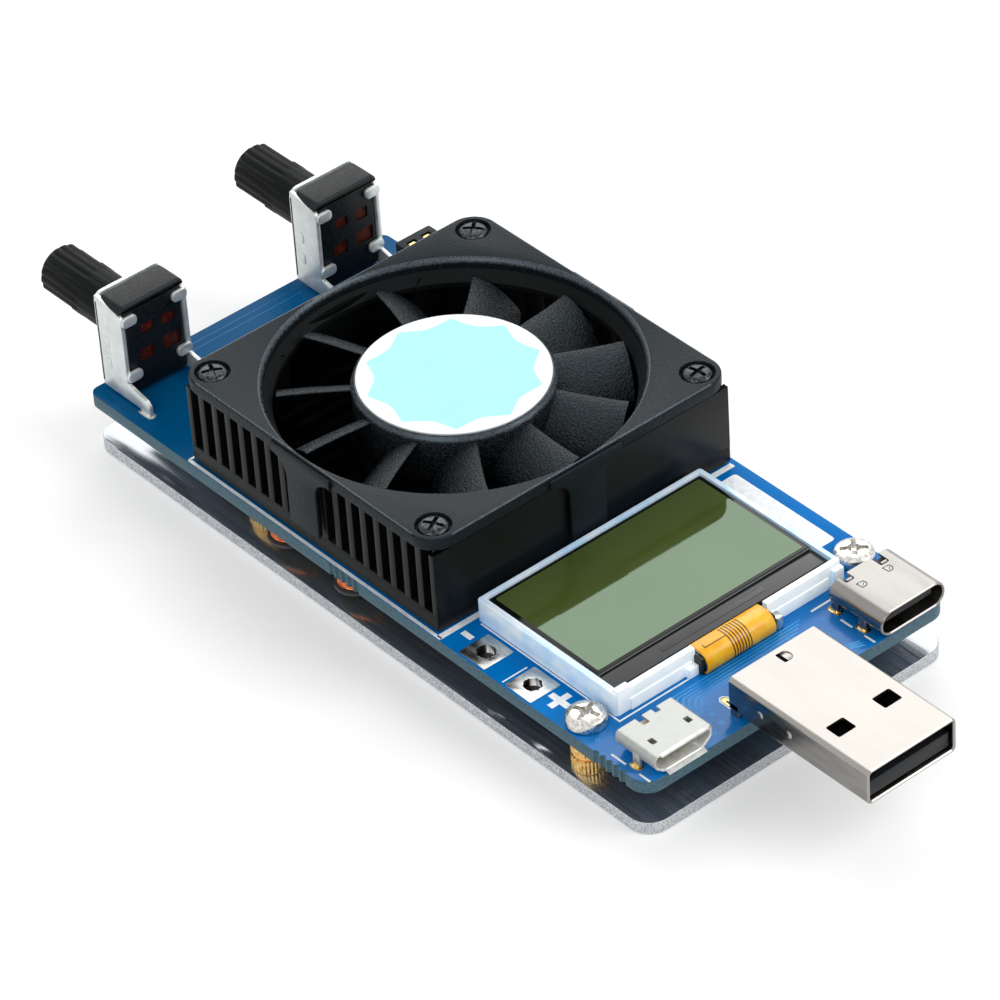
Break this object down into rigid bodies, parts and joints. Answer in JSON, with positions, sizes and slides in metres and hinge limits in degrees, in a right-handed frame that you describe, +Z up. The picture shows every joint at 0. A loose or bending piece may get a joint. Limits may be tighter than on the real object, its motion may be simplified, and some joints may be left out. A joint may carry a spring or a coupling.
{
  "type": "dc electronic load",
  "caption": "Small board-built electronic load: base plate, finned cooler with fan, display, turn pots, and plug and sockets for the supply under test.",
  "frame": {"origin": "centre of the base plate's bottom face", "axes": "+Z up through the board; +Y along the board towards the pots' shafts, with the large plug at -Y; +X across the board towards the wider small socket"},
  "size_m": [0.0418, 0.1194, 0.0194],
  "materials": {
    "aluminium_plate": "brushed clear",
    "plated_steel": "bright nickel plated",
    "brass": "bright, knurled",
    "board_blue": "glass-fibre board under blue solder resist",
    "heatsink_black": "black anodised",
    "thermal_pad": "soft silicone",
    "fan_plastic": "fine matte black",
    "label_film": "satin film, white with a pale cyan star",
    "magnet_rubber": "bonded ferrite",
    "shaft_steel": "ground",
    "bearing_bronze": "sintered bronze",
    "driver_board": "green board",
    "stator_steel": "laminated steel wound with copper",
    "lead_insulation": "twin insulated wire",
    "plug_nylon": "black nylon",
    "header_nylon": "white nylon",
    "light_guide": "clear and white moulded",
    "display_glass": "polarised, olive",
    "display_back_glass": "clear",
    "driver_strip": "black epoxy",
    "flex": "amber polyimide",
    "connector_steel": "nickel plated sheet",
    "insulator_black": "moulded black with gold contacts",
    "pot_sheet": "bright plated sheet",
    "pot_body": "moulded black",
    "pot_element": "brown phenolic with carbon track",
    "wiper_bronze": "spring bronze",
    "pot_shaft": "moulded black, knurled",
    "ferrite": "grey ferrite",
    "copper_winding": "enamelled copper wire",
    "chip_epoxy": "black epoxy with tinned leads"
  },
  "bodies": {
    "board": {"base_plate": "aluminium_plate", "base_screw_front_near": "plated_steel", "base_screw_front_far": "plated_steel", "base_screw_rear_near": "plated_steel", "base_screw_rear_far": "plated_steel", "board_screw_near": "plated_steel", "board_screw_far": "plated_steel", "fan_screw_1": "plated_steel", "fan_screw_2": "plated_steel", "fan_screw_3": "plated_steel", "fan_screw_4": "plated_steel", "standoff_front_near": "brass", "standoff_front_far": "brass", "standoff_rear_near": "brass", "standoff_rear_far": "brass", "pcb": "board_blue", "heatsink": "heatsink_black", "thermal_pad": "thermal_pad", "fan_frame": "fan_plastic", "fan_base": "fan_plastic", "fan_bearing": "bearing_bronze", "fan_driver_board": "driver_board", "fan_stator": "stator_steel", "fan_lead": "lead_insulation", "fan_plug": "plug_nylon", "fan_header": "header_nylon", "lcd_light_guide": "light_guide", "lcd_front_glass": "display_glass", "lcd_glass": "display_back_glass", "lcd_driver_strip": "driver_strip", "lcd_flex": "flex", "usb_a_shell": "connector_steel", "usb_c_shell": "connector_steel", "micro_usb_shell": "connector_steel", "usb_a_insulator": "insulator_black", "usb_c_tongue": "insulator_black", "micro_usb_tongue": "insulator_black", "pot_near_bracket": "pot_sheet", "pot_far_bracket": "pot_sheet", "pot_near_body": "pot_body", "pot_far_body": "pot_body", "pot_near_element": "pot_element", "pot_far_element": "pot_element", "inductor_front_core": "ferrite", "inductor_rear_core": "ferrite", "inductor_front_winding": "copper_winding", "inductor_rear_winding": "copper_winding", "mosfet": "chip_epoxy", "microcontroller": "chip_epoxy", "sense_resistor": "chip_epoxy", "op_amp": "chip_epoxy"},
    "fan_turning": {"fan_rotor": "fan_plastic", "fan_label": "label_film", "fan_magnet": "magnet_rubber", "fan_shaft": "shaft_steel"},
    "pot_near_turning": {"pot_near_shaft": "pot_shaft", "pot_near_wiper": "wiper_bronze"},
    "pot_far_turning": {"pot_far_shaft": "pot_shaft", "pot_far_wiper": "wiper_bronze"}
  },
  "joints": [
    {"name": "fan_spin", "type": "hinge", "parent": "board", "child": "fan_turning", "pos_m": [0, 0.0073, 0.014], "axis": [0, 0, 1], "continuous": true},
    {"name": "pot_near_turn", "type": "hinge", "parent": "board", "child": "pot_near_turning", "pos_m": [-0.01435, 0.0446, 0.0141], "axis": [0, 1, 0], "range_deg": [-140, 140]},
    {"name": "pot_far_turn", "type": "hinge", "parent": "board", "child": "pot_far_turning", "pos_m": [0.01245, 0.0446, 0.0141], "axis": [0, 1, 0], "range_deg": [-140, 140]}
  ]
}
